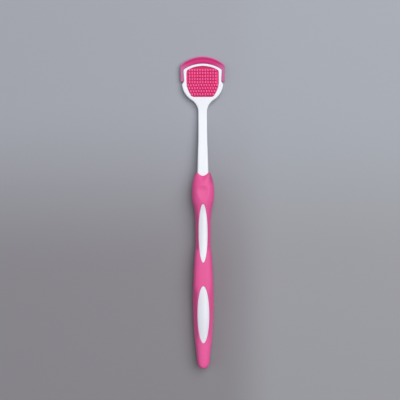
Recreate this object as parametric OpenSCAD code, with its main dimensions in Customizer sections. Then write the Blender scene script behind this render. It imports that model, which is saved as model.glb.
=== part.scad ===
// Tongue cleaner, lying on its back: head towards +Y, nubs towards +Z, middle line on x = 0.
// One rigid core carries three soft mouldings: the scraper lip round the top of the head,
// the nubbed pad in the head's window, and the grip, which leaves two oval lands of the core bare.

/* [Frame of the head] */
// Radius of the frame's round lower part
disc_r = 12.45; // [10:0.05:15]
// Thickness of the frame
frame_t = 3.6; // [3:0.1:4.6]
// Rounding of the frame's front edges
frame_edge_r = 0.55; // [0.2:0.05:0.7]
// Rounding of the frame's back edges
frame_back_edge_r = 0.7; // [0.4:0.05:0.7]
// Width of each shoulder, from the disc's edge in to the rim
shoulder_w = 1.2; // [0.6:0.05:1.6]
// Height of the shoulders over the middle of the disc
shoulder_rise = 0.8; // [0.2:0.1:1.6]
// Fall of each shoulder from the rim out to the disc
shoulder_drop = 1.9; // [1.2:0.1:3]
// Lean of the rim's two sides outwards from shoulder to corner
rim_flare = 0.4; // [0:0.05:1]
// Height of the rim's top over the middle of the disc
rim_rise = 11.5; // [9.5:0.1:14]
// Radius of the rim's curved top
rim_top_r = 20.2; // [17:0.1:26]
// Radius of the rim's two upper corners
rim_corner_r = 1.2; // [0.8:0.1:2.4]

/* [Window of the head] */
// Wall between the window and the rim's sides
rim_side_wall = 1.7; // [1.5:0.05:2.6]
// Wall between the window and the rim's top
rim_top_wall = 1.5; // [1.45:0.05:2.6]
// Wall between the window's foot and the bottom of the disc
foot_wall = 3.55; // [2.6:0.05:5]
// Height at which the window is widest over the middle of the disc
window_side_rise = 0.8; // [0:0.1:2]
// Radius of the window's lower sides
window_side_r = 15; // [13:0.5:24]
// Radius of the window's upper corners
window_top_corner_r = 1.6; // [0.8:0.1:2.6]
// Radius of the window's lower corners
window_foot_corner_r = 1; // [0.6:0.1:2]

/* [Scraper lip] */
// Reach of the lip beyond the rim's top
lip_reach = 4.6; // [3:0.1:6.5]
// Width of the lip beside the rim's upper corners
lip_side_w = 2.05; // [1.4:0.05:3]
// Width of the lip at its two ends
lip_end_w = 2.15; // [1.4:0.05:3]
// Fall of each end of the lip towards its outer edge
lip_end_drop = 0.3; // [0.2:0.1:1.6]
// Radius of the lip's curved top
lip_top_r = 19.6; // [17:0.1:26]
// Radius of the lip's two upper corners
lip_corner_r = 2; // [1.2:0.1:4]
// Height of the rim's wall under and over the lip's root
lip_root_wall = 0.85; // [0.75:0.05:1.1]
// Height of the crest over the top of the root where the lip is widest
lip_crest_h = 0.9; // [0.6:0.05:2]
// Thickness of the lip at its scraping edge
lip_edge_t = 0.9; // [0.6:0.05:1.4]
// Height of the scraping edge over the lip's underside at the root
lip_edge_rise = 1.3; // [0.6:0.05:2]

/* [Nubbed pad] */
// Depth of the pad's back face in the frame
pad_back_recess = 0.3; // [0.1:0.05:0.6]
// Depth of the pad's front face in the frame
pad_front_recess = 0.7; // [0.4:0.05:1.8]
// Height of a nub over the pad's face
nub_h = 1.6; // [1:0.1:3.5]
// Width of a nub at its foot
nub_foot_d = 1; // [0.82:0.02:1.2]
// Width of a nub where its tip starts to round
nub_neck_d = 0.8; // [0.5:0.02:0.8]
// Width of the flat on a nub's tip
nub_tip_d = 0.4; // [0.2:0.02:0.48]
// Height of the rounding of a nub's tip
nub_tip_h = 0.26; // [0.1:0.02:0.5]
// Length of a nub along the head over its width
nub_run = 0.45; // [0.1:0.05:0.5]
// Distance from nub to nub across the head
nub_pitch_x = 1.59; // [1.4:0.01:2.4]
// Distance from row to row along the head
nub_pitch_y = 1.83; // [1.75:0.01:2.4]
// Rows of nubs above the middle row, and below it
nub_rows = 4; // [2:1:4]
// Clearance between the outermost nubs and the window's wall
nub_clearance = 0.08; // [0.02:0.01:0.5]

/* [Seats of the soft parts in the frame] */
// Depth of the lip's groove and of the step under the pad's flange
seat_d = 0.5; // [0.3:0.05:0.6]
// Height of the pad's flange
flange_t = 0.8; // [0.5:0.05:1]

/* [Neck] */
// Length from the grip's mouth to the middle of the disc
neck_l = 54.6; // [46:0.1:70]
// Width at the narrowest place
neck_w = 5.25; // [4.6:0.05:6.2]
// Width where it enters the grip
neck_mouth_w = 6.5; // [6.2:0.05:7]
// Thickness where it enters the grip
neck_mouth_t = 5.2; // [4.6:0.05:5.8]
// Height of its middle there over the surface that the tool lies on
neck_mouth_z = 6.1; // [5.4:0.05:6.8]
// Rounding of its four edges where it enters the grip
neck_edge_r = 1.4; // [1:0.05:2.2]
// Radius of the fillets between neck and disc
neck_fillet_r = 7.3; // [4:0.1:10]

/* [Grip] */
// Length of the grip from its tail to its mouth
grip_l = 119.3; // [100:0.1:140]
// Width of the tail
tail_w = 6.6; // [5.8:0.1:8]
// Thickness of the tail
tail_t = 6.4; // [5.6:0.1:8]
// Length of the tail's round end
tail_cap_l = 4.2; // [2:0.1:5]
// Height of the tail's middle over the surface that the tool lies on
tail_z = 5.6; // [4.5:0.1:7]
// Width of the belly
belly_w = 12.5; // [11:0.1:15]
// Thickness of the belly
belly_t = 11.8; // [10.5:0.1:14]
// Width of the waist
waist_w = 9; // [8:0.05:10.5]
// Thickness of the waist
waist_t = 9.4; // [8.4:0.1:11]
// Height of the waist's middle over the surface that the tool lies on
waist_z = 5.9; // [5.5:0.1:6.5]
// Width of the collar
collar_w = 13.65; // [12:0.05:16]
// Thickness of the collar
collar_t = 12.4; // [11:0.1:14.5]
// Wall of each wing beside the neck at the grip's mouth
wing_wall = 1; // [0.5:0.05:1.4]
// Thickness of the wings
wing_t = 4; // [3.4:0.1:4.4]
// Length by which the collar ends short of the wings over the neck
mouth_dip_l = 2.4; // [1.6:0.1:3]
// Radius of the hollow over the neck in which the collar ends
mouth_dip_r = 5; // [4:0.5:7]
// Fall of that hollow towards the mouth, in degrees
mouth_dip_lean = 35; // [28:1:45]
// Thickness of the soft layer over the core
layer_t = 1.6; // [1.3:0.05:2]

/* [Thumb dish] */
// Radius of the hollow of the dish
dish_r = 8; // [6:0.5:12]
// Depth of the dish
dish_depth = 1.25; // [0.5:0.05:1.3]
// Rise of the dish's floor towards the waist, in degrees
dish_lean = 7; // [5:0.5:12]

/* [Oval lands] */
// Length of the land at the waist
waist_land_l = 35.2; // [26:0.1:38]
// Width of the land at the waist
waist_land_w = 5.5; // [4:0.05:6]
// Length of the land at the belly
belly_land_l = 34.4; // [26:0.1:38]
// Width of the land at the belly
belly_land_w = 7.1; // [5:0.05:8.5]
// Depth of the lands below the grip's surface
land_recess = 0.25; // [0.1:0.05:0.5]

/* [Hidden] */

tool_l = grip_l + neck_l + rim_rise + lip_reach;
tail_y = -tool_l / 2;
mouth_y = tail_y + grip_l;
disc_y = mouth_y + neck_l;
// Reach of every cutting shape past the faces through which it leaves
overrun = 1;

// Places along the grip, as shares of its length from the tail
belly_land_share = 0.281;
waist_land_share = 0.69;
dish_share = 0.889;
stem_start_share = 0.04;
stem_blend_share = 0.9;
stem_end_share = 0.97;
neck_root_share = 0.93;
collar_start_share = 0.77;
swell_start_share = 0.645;
swell_end_share = 0.535;
// Size of the stem where it ends inside the neck, as a share of the neck's size
stem_end_scale = 0.7;

// The curves along the tool are tables of shares. Each row holds a place on the length and a step
// on the list of named sizes that the curve follows: 0 is the first size, 1.5 is halfway from the
// second to the third.
grip_width_shares = [
    [0, 0], [0.07, 0.28], [0.132, 0.56], [0.194, 0.77], [0.255, 0.9], [0.36, 1],
    [0.469, 1.19], [0.561, 1.52], [0.592, 1.73], [0.622, 1.95], [0.68, 2],
    [0.742, 2.05], [0.788, 2.22], [0.819, 2.43], [0.85, 2.83], [0.888, 3],
    [0.926, 3.08], [0.956, 3.34], [0.97, 3.49], [0.987, 3.76], [1, 4]
];
grip_thickness_shares = [
    [0, 0], [0.132, 0.52], [0.255, 0.9], [0.36, 1],
    [0.469, 1.2], [0.561, 1.6], [0.68, 2],
    [0.788, 2.22], [0.85, 2.83], [0.888, 3],
    [0.926, 3.1], [0.954, 3.35], [0.979, 3.62], [0.992, 3.8], [1, 4]
];
// Exponents of the grip's rounded sections. Where the belly swells up from the waist, each section
// is the fuller one of two: the waist's, and the belly's with a share of the whole thickness.
belly_power_shares = [[0, 0], [0.1, 0], [0.2, 1], [0.33, 1], [0.43, 2], [1, 2]];
waist_power_shares = [[0, 0], [0.7, 0], [0.86, 1], [0.95, 1], [0.985, 2], [1, 2]];
swell_shares = [
    [0, 1], [0.545, 1], [0.56, 0.97], [0.582, 0.85],
    [0.598, 0.72], [0.615, 0.56], [0.675, 0], [1, 0]
];
// Shares of the grip's length with the amount of the straight flanks beside the two lands
flank_shares = [
    [0, 0], [0.12, 0], [0.19, 1], [0.34, 1], [0.43, 0],
    [0.57, 0], [0.61, 1], [0.74, 1], [0.84, 0], [1, 0]
];
// A straight flank's height where it starts, and its rise over the share of the half width
flank_foot_share = 0.1;
flank_rise_share = 1.9;
grip_middle_shares = [[0, 0], [0.2, 0.85], [0.36, 1], [0.68, 2], [0.888, 3], [1, 4]];
neck_width_shares = [[0, 0], [0.13, 0.28], [0.26, 0.6], [0.36, 0.88], [0.53, 1], [1, 1]];
neck_level_shares = [[0, 0], [0.72, 1], [1, 1]];
neck_fall_shares = [[0, 0], [0.45, 0.68], [0.72, 1], [1, 1]];

// Section of the lip: shares of its reach, each with a share of the rise of its underside, of the
// fall from its crest to the top of its edge, or of the rise from its root to its crest
lip_under_shares = [[0, 0], [0.35, 0.2], [0.7, 0.65], [0.93, 1]];
lip_fall_shares = [[0.94, 1], [0.8, 0.62], [0.64, 0.17]];
lip_crest_shares = [[0.5, 1], [0.34, 0.8], [0.16, 0.2], [0, 0]];

// Exponents of the rounded sections: 2 is an ellipse, less is more pointed and more is squarer
tail_power = 2.3;
belly_power = 2;
swell_power = 3;
waist_power = 2.2;
collar_power = 2.2;
mouth_power = 3;
// Points and steps of the curved surfaces
grip_points = 28;
stem_points = 20;
land_points = 36;
nub_points = 16;
edge_steps = 3;
dish_points = 48;
dish_steps = 8;
cap_turns = [15, 32, 50, 70];

function mix(a, b, share) = a + (b - a) * share;
function eased(share) = share * share * (3 - 2 * share);
function signed_power(v, e) = sign(v) * pow(abs(v), e);
function unit(v) = v / norm(v);
function mirrored(p) = [-p.x, p.y];
function reversed(list) = [for (i = [len(list) - 1:-1:0]) list[i]];

function secant(table, i) = (table[i + 1][1] - table[i][1]) / (table[i + 1][0] - table[i][0]);
function harmonic(a, b) = a * b <= 0 ? 0 : 2 * a * b / (a + b);
function slope(table, i) =
    i == 0 ? secant(table, 0) :
    i == len(table) - 1 ? secant(table, i - 1) :
    harmonic(secant(table, i - 1), secant(table, i));
// Value at x of the smooth curve through a table of [place, value] rows, without overshoot
function along(table, x) =
    let (
        i = max([for (k = [0:len(table) - 2]) if (k == 0 || table[k][0] <= x) k]),
        h = table[i + 1][0] - table[i][0],
        s = (x - table[i][0]) / h
    )
    mix(table[i][1], table[i + 1][1], eased(s))
        + slope(table, i) * h * s * pow(1 - s, 2)
        - slope(table, i + 1) * h * s * s * (1 - s);

function sized(shares, sizes) =
    [for (row = shares)
        let (i = min(floor(row[1]), len(sizes) - 2)) [row[0], mix(sizes[i], sizes[i + 1], row[1] - i)]];

function arc(centre, r, from, to, steps) =
    [for (i = [0:steps]) let (a = mix(from, to, i / steps)) centre + r * [cos(a), sin(a)]];

// Outlines are right-hand halves that climb in y. The normal to the right of the step from a to b:
function right_normal(a, b) = unit([b.y - a.y, a.x - b.x]);
// Directions in which the points of a half outline move when it grows by one unit
function growth(half, first, last) =
    [for (i = [0:len(half) - 1])
        i == 0 ? first :
        i == len(half) - 1 ? last :
        let (n1 = right_normal(half[i - 1], half[i]), n2 = right_normal(half[i], half[i + 1]))
        (n1 + n2) / (1 + n1 * n2)];
function grown(half, d, first, last) = half + d * growth(half, first, last);
// The whole outline round the middle line from a half that starts and ends on it
function whole(half) = concat(half, [for (i = [len(half) - 2:-1:1]) mirrored(half[i])]);

// A straight side from the foot up, a round corner and an arched top
function crown(foot_x, side_x, base_y, top_y, top_r, corner_r) =
    let (
        centre = [0, top_y - top_r],
        reach = top_r - corner_r,
        corner = [side_x - corner_r, centre.y + sqrt(reach * reach - pow(side_x - corner_r, 2))],
        turn = atan2(corner.y - centre.y, corner.x)
    )
    concat(
        [for (i = [0:3]) mix([foot_x, base_y], [side_x, corner.y], i / 4)],
        arc(corner, corner_r, 0, turn, 5),
        [for (i = [1:9])
            let (a = mix(turn, 90, i / 9)) centre + top_r * [cos(a), i < 9 ? sin(a) : 1]]
    );

shoulder_y = disc_y + shoulder_rise;
rim_top_y = disc_y + rim_rise;
rim_foot_x = disc_r - shoulder_w;
rim_side_x = rim_foot_x + rim_flare;
rim_half = crown(rim_foot_x, rim_side_x, shoulder_y, rim_top_y, rim_top_r, rim_corner_r);
lip_half = crown(
    rim_foot_x + lip_end_w, rim_side_x + lip_side_w,
    shoulder_y - lip_end_drop, rim_top_y + lip_reach, lip_top_r, lip_corner_r
);

// Curves of the neck from the grip's mouth to the disc

neck_widths = sized(neck_width_shares, [neck_mouth_w, neck_w]);
neck_thicknesses = sized(neck_level_shares, [neck_mouth_t, frame_t]);
neck_middles = sized(neck_fall_shares, [neck_mouth_z, frame_t / 2]);
neck_roundings = sized(neck_level_shares, [neck_edge_r, frame_edge_r]);
neck_back_roundings = sized(neck_level_shares, [neck_edge_r, frame_back_edge_r]);
// Value from one of these curves at height y of the outline
function of_neck(curve, y) = along(curve, max(0, min((y - mouth_y) / neck_l, 1)));

root_y = mix(tail_y, mouth_y, neck_root_share);
fillet_x = neck_w / 2 + neck_fillet_r;
fillet_centre = [fillet_x, disc_y - sqrt(pow(disc_r + neck_fillet_r, 2) - pow(fillet_x, 2))];
fillet_turn = atan2(disc_y - fillet_centre.y, -fillet_x);
disc_end = asin((shoulder_rise - shoulder_drop) / disc_r);
neck_steps = 18;
frame_half = concat(
    [for (i = [0:neck_steps - 1])
        let (y = mix(root_y, fillet_centre.y, i / neck_steps)) [of_neck(neck_widths, y) / 2, y]],
    arc(fillet_centre, neck_fillet_r, 180, fillet_turn, 6),
    [for (i = [1:11])
        let (a = mix(fillet_turn - 180, disc_end, i / 11)) [0, disc_y] + disc_r * [cos(a), sin(a)]],
    rim_half
);

window_half_w = rim_side_x - rim_side_wall;
window_top_r = rim_top_r - rim_top_wall;
window_side_y = disc_y + window_side_rise;
window_side_x = window_half_w - window_side_r;
foot_y = disc_y - disc_r + foot_wall;
foot_corner_y = foot_y + window_foot_corner_r;
foot_corner_x = window_side_x
    + sqrt(pow(window_side_r - window_foot_corner_r, 2) - pow(foot_corner_y - window_side_y, 2));
foot_turn = atan2(foot_corner_y - window_side_y, foot_corner_x - window_side_x);
window_half = concat(
    [[0, foot_y]],
    arc([foot_corner_x, foot_corner_y], window_foot_corner_r, -90, foot_turn, 4),
    [for (i = [1:7])
        let (a = mix(foot_turn, 0, i / 8))
        [window_side_x, window_side_y] + window_side_r * [cos(a), sin(a)]],
    crown(
        window_half_w, window_half_w, window_side_y,
        rim_top_y - rim_top_wall, window_top_r, window_top_corner_r
    )
);

nub_margin = nub_foot_d / 2 + nub_run / 2 + nub_clearance;
// True where a nub has room in the window
function nub_fits(x, y) =
    y >= foot_y + nub_margin
    && abs(x) <= window_half_w - nub_margin
    && norm([x, y - rim_top_y + rim_top_r]) <= window_top_r - nub_margin
    && (y >= window_side_y
        || norm([abs(x) - window_side_x, y - window_side_y]) <= window_side_r - nub_margin);

// Curves of the grip from its tail to its mouth

grip_widths = sized(grip_width_shares, [tail_w, belly_w, waist_w, collar_w, neck_mouth_w + 2 * wing_wall]);
grip_thicknesses = sized(grip_thickness_shares, [tail_t, belly_t, waist_t, collar_t, wing_t]);
grip_middles = sized(grip_middle_shares, [tail_z, belly_t / 2, waist_z, collar_t / 2, neck_mouth_z]);

belly_powers = sized(belly_power_shares, [tail_power, belly_power, swell_power]);
waist_powers = sized(waist_power_shares, [waist_power, collar_power, mouth_power]);

// Height of a rounded section over its middle at a share of its half width, as a share
function bulge(across, power) = pow(max(0, 1 - pow(abs(across), power)), 1 / power);
// A rounded section of the form that the grip has at share, w wide and t thick, with its middle at z
function ring(share, y, w, t, z, points) =
    let (
        waist = along(waist_powers, share),
        belly = along(belly_powers, share),
        swell = along(swell_shares, share),
        flank = along(flank_shares, share)
    )
    [for (i = [0:points - 1])
        let (
            a = 360 * i / points,
            across = signed_power(cos(a), 2 / collar_power),
            full = max(bulge(across, waist), swell * bulge(across, belly)),
            straight = flank_foot_share + flank_rise_share * (1 - abs(across)),
            rise = full - flank * max(0, full - straight)
        )
        [w / 2 * across, y, z + t / 2 * sign(sin(a)) * rise]];

// Shares of the grip's length at which it has a section, closer together at the swell and the collar
cap_share = tail_cap_l / grip_l;
grip_stations = concat(
    [for (i = [0:11]) mix(cap_share, swell_end_share, i / 12)],
    [for (i = [0:8]) mix(swell_end_share, swell_start_share, i / 9)],
    [for (i = [0:3]) mix(swell_start_share, collar_start_share, i / 4)],
    [for (i = [0:12]) mix(collar_start_share, 1, i / 12)]
);
function grip_ring(share, inset, fullness) =
    ring(
        share,
        mix(tail_y, mouth_y, share) + (fullness < 1 ? inset : 0),
        (along(grip_widths, share) - 2 * inset) * fullness,
        (along(grip_thicknesses, share) - 2 * inset) * fullness,
        along(grip_middles, share),
        grip_points
    );

// A section of the core's stem inside the grip, which ends within the neck
function stem_ring(share) =
    let (
        kept = min(share, stem_blend_share),
        blend = eased(max(0, (share - stem_blend_share) / (stem_end_share - stem_blend_share)))
    )
    ring(
        kept,
        mix(tail_y, mouth_y, share),
        mix(along(grip_widths, kept) - 2 * layer_t, neck_mouth_w * stem_end_scale, blend),
        mix(along(grip_thicknesses, kept) - 2 * layer_t, neck_mouth_t * stem_end_scale, blend),
        mix(along(grip_middles, kept), neck_mouth_z, blend),
        stem_points
    );

// Skins a row of rings and closes its ends on the points first and last
module skin(rings, first, last) {
    count = len(rings[0]);
    top = len(rings) * count;
    polyhedron(
        points = concat([for (r = rings) each r], [first, last]),
        faces = concat(
            [for (i = [0:count - 1]) [(i + 1) % count, i, top]],
            [for (k = [0:len(rings) - 2], i = [0:count - 1])
                let (a = k * count + i, b = k * count + (i + 1) % count)
                each [[a, b, b + count], [a, b + count, a + count]]],
            [for (i = [0:count - 1]) [top - count + i, top - count + (i + 1) % count, top + 1]]
        )
    );
}

// The grip's outer form, made smaller by inset on every side
module grip_form(inset) {
    cap = [for (a = cap_turns) grip_ring(cap_share * (1 - cos(a)), inset, sin(a))];
    body = [for (s = grip_stations) grip_ring(s, inset, 1)];
    skin(
        concat(cap, body),
        [0, tail_y + inset, tail_z],
        [0, mouth_y, neck_mouth_z]
    );
}

module stem() {
    rings = concat(
        [for (i = [0:18]) stem_ring(mix(stem_start_share, stem_blend_share, i / 18))],
        [for (i = [1:5]) stem_ring(mix(stem_blend_share, stem_end_share, i / 5))]
    );
    skin(
        rings,
        [0, mix(tail_y, mouth_y, stem_start_share), along(grip_middles, stem_start_share)],
        [0, mix(tail_y, mouth_y, stem_end_share), neck_mouth_z]
    );
}

// Neck and frame in one piece: the half outline, thick as the tables say, with rounded edges
module frame_form() {
    n = len(frame_half);
    count = 2 * n - 1;
    outward = growth(frame_half, [1, 0], [0, 1]);
    rings = [for (side = [-1, 1], k = [0:edge_steps])
        let (
            a = 90 * (side < 0 ? k : edge_steps - k) / edge_steps,
            half = [for (i = [0:n - 1])
                let (
                    p = frame_half[i],
                    r = of_neck(side < 0 ? neck_back_roundings : neck_roundings, p.y),
                    q = p - r * (1 - sin(a)) * outward[i],
                    z = of_neck(neck_middles, p.y)
                        + side * (of_neck(neck_thicknesses, p.y) / 2 - r * (1 - cos(a)))
                )
                [q.x, q.y, z]]
        )
        concat(half, [for (i = [n - 2:-1:0]) [-half[i].x, half[i].y, half[i].z]])];
    last = (len(rings) - 1) * count;
    polyhedron(
        points = [for (r = rings) each r],
        faces = concat(
            [for (k = [0:len(rings) - 2], i = [0:count - 1])
                let (a = k * count + i, b = k * count + (i + 1) % count)
                each [[a, a + count, b + count], [a, b + count, b]]],
            [for (i = [0:n - 2]) each rung(i, i + 1, count - 2 - i, count - 1 - i)],
            [for (i = [0:n - 2])
                each rung(last + count - 1 - i, last + count - 2 - i, last + i + 1, last + i)]
        )
    );
}
// The two triangles of a flat four-cornered face, or the one that is left where b and c are one corner
function rung(a, b, c, d) = b == c ? [[a, b, d]] : [[a, b, c], [a, c, d]];

// The lip between the outline of the rim and its own, seated in the rim's groove
module lip_form() {
    n = len(rim_half);
    seat = growth(rim_half, unit(lip_half[0] - rim_half[0]), [0, 1]);
    root_top = frame_t - lip_root_wall;
    edge_z = lip_root_wall + lip_edge_rise;
    edge_top = edge_z + lip_edge_t;
    stations = [for (i = [0:n - 1])
        let (
            rim = rim_half[i],
            out = lip_half[i] - rim,
            inner = rim - seat_d * seat[i],
            crest = root_top + lip_crest_h * norm(out) / lip_reach,
            under = [for (s = lip_under_shares) [s[0], mix(lip_root_wall, edge_z, s[1])]],
            edge = [1, (edge_z + edge_top) / 2],
            fall = [for (s = lip_fall_shares) [s[0], mix(crest, edge_top, s[1])]],
            rise = [for (s = lip_crest_shares) [s[0], mix(root_top, crest, s[1])]]
        )
        concat(
            [[inner.x, inner.y, lip_root_wall]],
            [for (p = concat(under, [edge], fall, rise)) let (q = rim + p[0] * out) [q.x, q.y, p[1]]],
            [[inner.x, inner.y, root_top]]
        )];
    rings = concat(
        stations,
        [for (i = [n - 2:-1:0]) [for (p = stations[i]) [-p.x, p.y, p.z]]]
    );
    count = len(rings[0]);
    last = (len(rings) - 1) * count;
    m = count / 2;
    polyhedron(
        points = [for (r = rings) each r],
        faces = concat(
            [for (k = [0:len(rings) - 2], i = [0:count - 1])
                let (a = k * count + i, b = k * count + (i + 1) % count)
                each [[a, b + count, a + count], [a, b, b + count]]],
            [for (i = [0:m - 2]) each rung(count - 1 - i, count - 2 - i, i + 1, i)],
            [for (i = [0:m - 2])
                each rung(last + i, last + i + 1, last + count - 2 - i, last + count - 1 - i)]
        )
    );
}

// The pad's body and its wider flange, which a cut makes deeper at the back and the front
module pad_form(back_z, front_z) {
    translate([0, 0, back_z])
        linear_extrude(front_z - back_z) polygon(whole(window_half));
    translate([0, 0, back_z])
        linear_extrude(pad_back_recess + flange_t - back_z)
            polygon(whole(grown(window_half, seat_d, [0, -1], [0, 1])));
}

// A tapered nub, oval in plan: two halves of a turned form with its section drawn out between them
module nub() {
    half = [
        [nub_foot_d / 2, -seat_d],
        [nub_foot_d / 2, 0],
        [nub_neck_d / 2, nub_h - nub_tip_h],
        [nub_tip_d / 2, nub_h]
    ];
    for (turn = [0, 180])
        rotate(turn)
            translate([0, nub_run / 2, 0])
                rotate_extrude(angle = 180, $fn = nub_points)
                    polygon(concat([[0, -seat_d]], half, [[0, nub_h]]));
    translate([0, nub_run / 2, 0])
        rotate([90, 0, 0])
            linear_extrude(nub_run)
                polygon(concat(half, [for (p = reversed(half)) mirrored(p)]));
}

// An oval column through the whole grip
module land_column(share, l, w) {
    translate([0, mix(tail_y, mouth_y, share), -overrun])
        linear_extrude(collar_t + 2 * overrun)
            polygon([for (i = [0:land_points - 1])
                let (a = 360 * i / land_points) [w / 2 * cos(a), l / 2 * sin(a)]]);
}
module land_columns() {
    land_column(waist_land_share, waist_land_l, waist_land_w);
    land_column(belly_land_share, belly_land_l, belly_land_w);
}

// The rigid moulding: frame, neck, and the stem with its two oval lands
module handle_core() {
    color([0.95, 0.95, 0.97]) {
        difference() {
            frame_form();
            pad_form(-overrun, frame_t + overrun);
            lip_form();
        }
        stem();
        intersection() {
            grip_form(land_recess);
            land_columns();
        }
    }
}

// The soft blade round the top and the sides of the head
module scraper_lip() {
    color([0.85, 0.2, 0.53]) lip_form();
}

// The soft pad that fills the window, with its rows of nubs
module nub_pad() {
    color([0.93, 0.28, 0.52]) {
        pad_form(pad_back_recess, frame_t - pad_front_recess);
        columns = ceil(window_half_w / nub_pitch_x);
        for (j = [-nub_rows:nub_rows], i = [-columns:columns]) {
            // Every other row below the middle one is shifted by half a pitch
            x = (j < 0 && j % 2 != 0 ? i + 0.5 : i) * nub_pitch_x;
            y = disc_y + j * nub_pitch_y;
            if (nub_fits(x, y)) translate([x, y, frame_t - pad_front_recess]) nub();
        }
    }
}

// The form that hollows the thumb dish: a round nose towards the head, and a trough that leaves the
// collar's surface towards the waist
module dish_form() {
    dish_y = mix(tail_y, mouth_y, dish_share);
    dish_z = along(grip_middles, dish_share) + along(grip_thicknesses, dish_share) / 2;
    run = dish_depth / tan(dish_lean);
    translate([0, dish_y, dish_z - dish_depth + dish_r])
        rotate([-90 - dish_lean, 0, 0])
            rotate_extrude($fn = dish_points)
                polygon(concat([[0, -run], [dish_r, -run]], arc([0, 0], dish_r, 0, 90, dish_steps)));
}

// The leaning column that hollows the collar's end down to the neck's top
module mouth_dip() {
    top_z = neck_mouth_z + neck_mouth_t / 2;
    translate([0, mouth_y - mouth_dip_l, top_z])
        rotate([-90 - mouth_dip_lean, 0, 0])
            translate([0, -mouth_dip_r, -collar_t])
                cylinder(h = 2 * collar_t, r = mouth_dip_r, $fn = dish_points);
}

// The soft sleeve: collar with its thumb dish, waist, belly and tail
module grip_sleeve() {
    color([0.9, 0.37, 0.61])
        difference() {
            grip_form(0);
            stem();
            frame_form();
            land_columns();
            dish_form();
            mouth_dip();
        }
}

handle_core();
scraper_lip();
nub_pad();
grip_sleeve();
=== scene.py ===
"""A tongue scraper that lies on its back on a plain grey table, seen from straight above.

The head points to +Y and the nubs to +Z. Sizes are in millimetres until a mesh is made, and the
outlines follow the same named sizes as the solids that the meshes stand for.
"""

import logging
import math
from dataclasses import dataclass
from enum import Enum
from typing import Any, Callable, Mapping, Sequence

import bmesh
import bpy
from bmesh.types import BMEdge, BMesh, BMVert
from mathutils import Matrix, Vector


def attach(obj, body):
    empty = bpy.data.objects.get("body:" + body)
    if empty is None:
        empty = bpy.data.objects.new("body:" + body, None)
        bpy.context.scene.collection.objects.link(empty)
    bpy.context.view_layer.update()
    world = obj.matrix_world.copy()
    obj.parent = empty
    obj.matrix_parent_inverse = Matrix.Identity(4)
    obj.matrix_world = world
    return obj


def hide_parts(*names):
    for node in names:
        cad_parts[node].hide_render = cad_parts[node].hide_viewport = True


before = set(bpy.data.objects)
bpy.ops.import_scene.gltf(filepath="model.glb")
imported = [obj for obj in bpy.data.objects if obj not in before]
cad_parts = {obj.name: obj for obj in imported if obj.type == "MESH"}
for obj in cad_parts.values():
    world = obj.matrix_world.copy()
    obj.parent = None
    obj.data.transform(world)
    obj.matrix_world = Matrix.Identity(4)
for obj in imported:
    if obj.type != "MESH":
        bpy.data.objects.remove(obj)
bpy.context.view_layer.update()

LOG = logging.getLogger("tongue_scraper")
BODY = "root"
# A millimetre, and the distance below which two points of a mesh are one, in metres
MM = 0.001
MERGE = 2e-6
# The turn between two faces from which on their edge stays sharp
CORNER = math.radians(50.0)
TINY = 1e-9
# The height of the pad's front, and of a nub over it
PAD_FACE_Z = 2.9
NUB_H = 1.6
Point = tuple[float, float]
Triple = tuple[float, float, float]
Colour = tuple[float, ...]


# Curves and outlines


def mix(a: float, b: float, share: float) -> float:
    """Returns the value that lies share of the way from a to b."""
    return a + (b - a) * share


def between(a: Point, b: Point, share: float) -> Point:
    """Returns the point that lies share of the way from a to b."""
    return (mix(a[0], b[0], share), mix(a[1], b[1], share))


def held(share: float) -> float:
    """Returns share, held between 0 and 1."""
    return min(1.0, max(0.0, share))


def eased(share: float) -> float:
    """Returns share, held between 0 and 1 and slowed down at both ends."""
    return held(share) ** 2 * (3.0 - 2.0 * held(share))


def lesser(a: float, b: float, ease: float) -> float:
    """Returns the lesser of two values, with the corner between the two eased over a range."""
    share = held(0.5 + 0.5 * (b - a) / max(ease, TINY))
    return mix(b, a, share) - ease * share * (1.0 - share)


def bulge(across: float, power: float) -> float:
    """Returns the height of a round section at a share of its half width, where power 2 is an ellipse."""
    return max(0.0, 1.0 - abs(across) ** power) ** (1.0 / power)


def spread(a: float, b: float, steps: int) -> list[float]:
    """Returns the steps + 1 evenly spaced values from a to b."""
    return [mix(a, b, k / steps) for k in range(steps + 1)]


def quarter(steps: int) -> list[Point]:
    """Returns the inset and the drop along a rounded edge of radius 1, from its flat to its side."""
    return [(1.0 - math.sin(a), 1.0 - math.cos(a)) for a in spread(0.0, math.pi / 2.0, steps)]


def arc(centre: Point, radius: float, start: float, end: float, steps: int) -> list[Point]:
    """Returns the points of a circular arc.

    Args:
        centre: The circle's middle.
        radius: The circle's radius.
        start: The first point's direction in degrees.
        end: The last point's direction in degrees.
        steps: The number of steps between the two.

    Returns:
        The steps + 1 points from start to end.
    """
    turns = [math.radians(a) for a in spread(start, end, steps)]
    return [(centre[0] + radius * math.cos(a), centre[1] + radius * math.sin(a)) for a in turns]


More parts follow.
